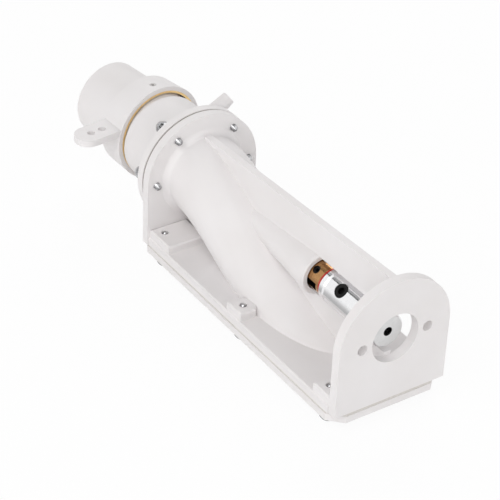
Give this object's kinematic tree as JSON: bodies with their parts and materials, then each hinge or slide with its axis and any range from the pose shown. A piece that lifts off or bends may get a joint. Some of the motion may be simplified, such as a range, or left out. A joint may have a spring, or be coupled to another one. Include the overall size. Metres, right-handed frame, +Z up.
{
  "type": "water jet thruster",
  "caption": "Model boat water jet: printed frame with sloping intake duct, shaft with coupling, impeller pump and swivelling steering nozzle with side horn.",
  "frame": {"origin": "on the shaft axis, in the front face of the motor plate", "axes": "+Y aft along the shaft, +Z up, +X to starboard"},
  "size_m": [0.0544, 0.1719, 0.0527],
  "materials": {
    "white_print": "satin",
    "white_pump": "satin",
    "white_plate": "satin",
    "dark_gasket": "matte",
    "screw_steel": "bright",
    "brass": "satin",
    "polished_aluminium": "polished",
    "black_steel": "satin",
    "red_plastic": "gloss",
    "shaft_steel": "ground",
    "bronze": "satin"
  },
  "bodies": {
    "frame": {"base_flange": "white_print", "intake_duct": "white_print", "motor_plate": "white_print", "transom_plate": "white_print", "spine_web": "white_print", "duct_rib": "white_print", "base_gasket": "dark_gasket", "bottom_plate": "white_plate", "base_screws": "screw_steel", "transom_gasket": "dark_gasket", "pump_housing": "white_pump", "pump_screws": "screw_steel", "cooling_nipple": "white_pump", "stator": "white_pump", "rear_bush": "bronze", "outlet_nozzle": "white_pump", "pivot_pins": "screw_steel", "bearing_outer_race": "shaft_steel", "shaft_bush": "bronze"},
    "rotor": {"drive_shaft": "shaft_steel", "shaft_coupling": "polished_aluminium", "coupling_grub_screws": "black_steel", "red_washer": "red_plastic", "stop_collar": "bronze", "collar_grub_screw": "black_steel", "bearing_inner_race": "shaft_steel", "impeller": "brass", "impeller_nut": "screw_steel"},
    "steering": {"steering_nozzle": "white_pump", "steering_ring": "brass"}
  },
  "joints": [
    {"name": "rotor_spin", "type": "hinge", "parent": "frame", "child": "rotor", "pos_m": [0, 0, 0], "axis": [0, 1, 0], "continuous": true},
    {"name": "steering_swivel", "type": "hinge", "parent": "frame", "child": "steering", "pos_m": [0, 0.14432, 0], "axis": [0, 0, 1], "range_deg": [-14, 2]}
  ]
}
